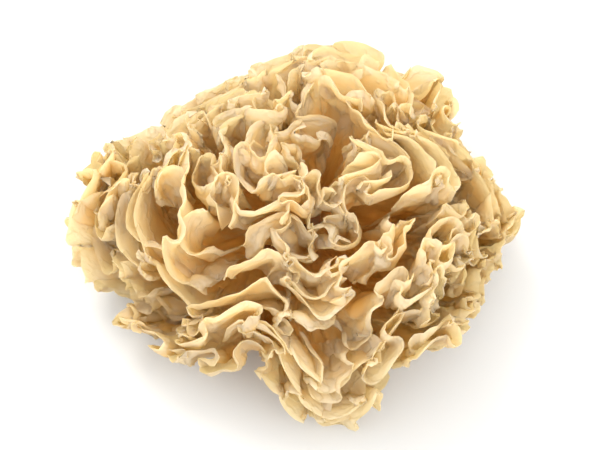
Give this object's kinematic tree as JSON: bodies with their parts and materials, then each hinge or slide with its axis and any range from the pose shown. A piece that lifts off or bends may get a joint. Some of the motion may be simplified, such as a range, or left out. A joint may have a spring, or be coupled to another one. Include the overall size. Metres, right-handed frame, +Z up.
{
  "type": "snow fungus",
  "caption": "Dried snow fungus: a loose rosette of thin frilled cream fronds that fork from an amber base, cut off flat so that it rests upright.",
  "frame": {"origin": "the centre of the flat cut under the base, on the surface that the fungus rests on", "axes": "+Z up through the heart of the rosette, -Y towards the viewer of the picture"},
  "size_m": [0.0875, 0.0739, 0.0402],
  "materials": {
    "fungus_cream": "satin, thin and translucent",
    "base_amber": "matt, tough and fibrous"
  },
  "bodies": {
    "root": {"base": "base_amber", "frond_01": "fungus_cream", "frond_02": "fungus_cream", "frond_03": "fungus_cream", "frond_04": "fungus_cream", "frond_05": "fungus_cream", "frond_06": "fungus_cream", "frond_07": "fungus_cream", "frond_08": "fungus_cream", "frond_09": "fungus_cream", "frond_10": "fungus_cream", "frond_11": "fungus_cream", "frond_12": "fungus_cream", "frond_13": "fungus_cream", "frond_14": "fungus_cream", "frond_15": "fungus_cream", "frond_16": "fungus_cream", "frond_17": "fungus_cream", "frond_18": "fungus_cream"}
  },
  "joints": []
}
